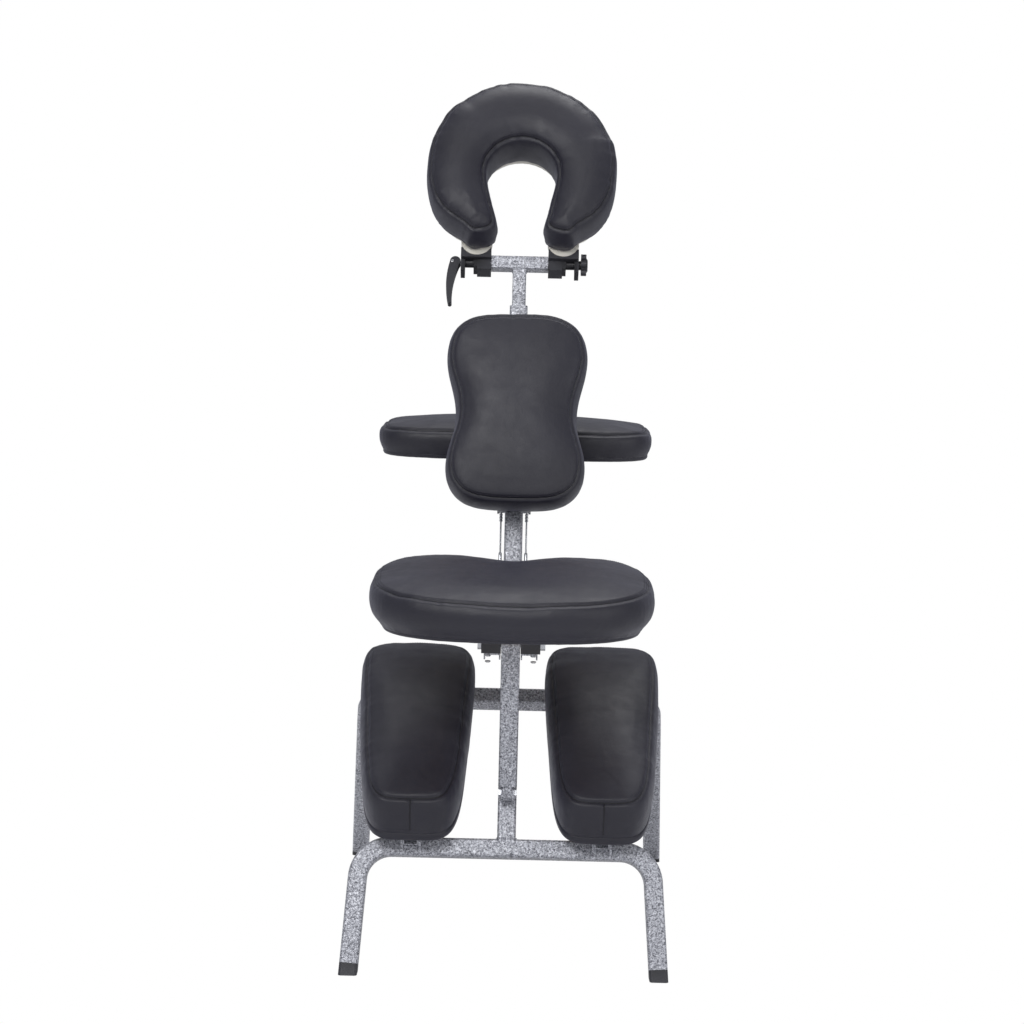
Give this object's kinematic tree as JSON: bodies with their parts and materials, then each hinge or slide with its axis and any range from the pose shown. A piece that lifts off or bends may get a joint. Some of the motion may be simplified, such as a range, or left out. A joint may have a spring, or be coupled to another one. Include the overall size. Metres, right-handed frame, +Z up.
{
  "type": "folding massage chair",
  "caption": "Folding massage chair: leaning square-tube frame, padded seat, shin rests, chest pad, arm rest and a tilting horseshoe face cradle on a sliding post.",
  "frame": {"origin": "floor level, centred across the feet and midway between the seat's rear edge and the front feet's toes", "axes": "+X across the chair to the sitter's right, +Y the way the sitter faces, from the seat towards the arm rest, +Z up"},
  "size_m": [0.4708, 0.7406, 1.1719],
  "materials": {
    "silver_vein": "silver-vein powder coat, fine light and dark speckle, satin",
    "black_plastic": "moulded black plastic, fine grain",
    "black_rubber": "moulded rubber, dull",
    "zinc_steel": "bright zinc plated",
    "plywood": "bare birch plywood, laminated edges",
    "cream_plastic": "moulded cream plastic, satin",
    "black_leather": "black synthetic leather over foam, soft sheen, twin stitched seams"
  },
  "bodies": {
    "frame": {"rear_leg_bow": "silver_vein", "spine_tube": "silver_vein", "rear_feet": "black_plastic", "leg_hinge_bracket": "silver_vein", "leg_hinge_bolt": "zinc_steel", "post_hinge_ears": "silver_vein", "post_hinge_bolt": "zinc_steel", "shin_hinge_ears": "silver_vein", "shin_hinge_bolts": "zinc_steel", "seat_hook": "silver_vein", "spine_top_bush": "black_plastic", "cable_bolt": "zinc_steel", "seat_cables": "zinc_steel"},
    "front_leg": {"front_leg_bow": "silver_vein", "front_leg_tube": "silver_vein", "front_leg_knuckle": "black_plastic", "front_feet": "black_plastic"},
    "shin_rest_left": {"shin_rail_left": "silver_vein", "shin_board_left": "plywood", "shin_pad_left": "black_leather", "shin_buffer_left": "black_rubber"},
    "shin_rest_right": {"shin_rail_right": "silver_vein", "shin_board_right": "plywood", "shin_pad_right": "black_leather", "shin_buffer_right": "black_rubber"},
    "seat_post": {"seat_post_tube": "silver_vein", "seat_post_lug": "silver_vein", "seat_post_knuckle": "silver_vein"},
    "seat": {"seat_blocks": "black_plastic", "seat_carrier": "silver_vein", "seat_cross_pin": "zinc_steel", "seat_hinge_bolt": "zinc_steel", "seat_board": "plywood", "seat_pad": "black_leather"},
    "chest_rest": {"chest_sleeve": "silver_vein", "chest_board": "plywood", "chest_pad": "black_leather"},
    "chest_clamp": {"chest_knob": "black_plastic"},
    "arm_carriage": {"arm_sleeve": "silver_vein", "arm_hinge_bolt": "zinc_steel"},
    "arm_clamp": {"arm_sleeve_knob": "black_plastic"},
    "arm_hinge_clamp": {"arm_hinge_knob": "black_plastic"},
    "arm_rest": {"arm_beam": "silver_vein", "arm_board": "plywood", "arm_pad": "black_leather"},
    "face_stem": {"face_post": "silver_vein", "cradle_spigots": "zinc_steel"},
    "post_clamp": {"post_knob": "black_plastic"},
    "cradle": {"cradle_saddle_left": "black_plastic", "cradle_saddle_right": "black_plastic", "cradle_rod": "zinc_steel", "cradle_plate": "cream_plastic", "face_pad": "black_leather"},
    "lever": {"cam_lever": "black_plastic"},
    "cradle_clamp": {"cradle_knob": "black_plastic"}
  },
  "joints": [
    {"name": "leg_fold", "type": "hinge", "parent": "frame", "child": "front_leg", "pos_m": [0, -0.07528, 0.43564], "axis": [-1, 0, 0], "range_deg": [0, 58]},
    {"name": "shin_left_swing", "type": "hinge", "parent": "frame", "child": "shin_rest_left", "pos_m": [-0.128, -0.23906, 0.18034], "axis": [1, 0, 0], "range_deg": [0, 17]},
    {"name": "shin_right_swing", "type": "hinge", "parent": "frame", "child": "shin_rest_right", "pos_m": [0.128, -0.23906, 0.18034], "axis": [1, 0, 0], "range_deg": [0, 17]},
    {"name": "seat_post_fold", "type": "hinge", "parent": "frame", "child": "seat_post", "pos_m": [0, -0.22263, 0.23312], "axis": [-1, 0, 0], "range_deg": [0, 32.4]},
    {"name": "seat_fold", "type": "hinge", "parent": "seat_post", "child": "seat", "pos_m": [0, -0.25835, 0.44209], "axis": [1, 0, 0], "range_deg": [0, 99.3], "deforming": ["seat_cables"]},
    {"name": "chest_slide", "type": "slide", "parent": "frame", "child": "chest_rest", "axis": [0, 0.3907, 0.9205], "range_m": [0, 0.04]},
    {"name": "chest_knob_turn", "type": "hinge", "parent": "chest_rest", "child": "chest_clamp", "pos_m": [0.03, 0.03232, 0.75824], "axis": [1, 0, 0], "continuous": true},
    {"name": "arm_slide", "type": "slide", "parent": "frame", "child": "arm_carriage", "axis": [0, 0.3907, 0.9205], "range_m": [0, 0.05]},
    {"name": "arm_knob_turn", "type": "hinge", "parent": "arm_carriage", "child": "arm_clamp", "pos_m": [-0.03, -0.01769, 0.64042], "axis": [-1, 0, 0], "continuous": true},
    {"name": "arm_hinge_knob_turn", "type": "hinge", "parent": "arm_carriage", "child": "arm_hinge_clamp", "pos_m": [0.02, 0.028, 0.64058], "axis": [1, 0, 0], "continuous": true},
    {"name": "arm_fold", "type": "hinge", "parent": "arm_carriage", "child": "arm_rest", "pos_m": [0, 0.028, 0.64058], "axis": [-1, 0, 0], "range_deg": [0, 60]},
    {"name": "face_post_slide", "type": "slide", "parent": "frame", "child": "face_stem", "axis": [0, 0.3907, 0.9205], "range_m": [-0.02, 0.08]},
    {"name": "post_knob_turn", "type": "hinge", "parent": "frame", "child": "post_clamp", "pos_m": [0, 0.08852, 0.83434], "axis": [0, 0.9205, -0.3907], "continuous": true},
    {"name": "cradle_tilt", "type": "hinge", "parent": "face_stem", "child": "cradle", "pos_m": [0, 0.09833, 0.92143], "axis": [-1, 0, 0], "range_deg": [-30, 45]},
    {"name": "cam_lever_open", "type": "hinge", "parent": "cradle", "child": "lever", "pos_m": [-0.095, 0.09833, 0.92143], "axis": [0, 0.829, -0.5592], "range_deg": [0, 110]},
    {"name": "cradle_knob_turn", "type": "hinge", "parent": "cradle", "child": "cradle_clamp", "pos_m": [0.09, 0.09833, 0.92143], "axis": [1, 0, 0], "continuous": true}
  ],
  "couplings": [
    {"joint": "shin_left_swing", "follows": "leg_fold", "ratio": 0.28},
    {"joint": "shin_right_swing", "follows": "leg_fold", "ratio": 0.28},
    {"joint": "seat_post_fold", "follows": "seat_fold", "ratio": 0.32528}
  ]
}
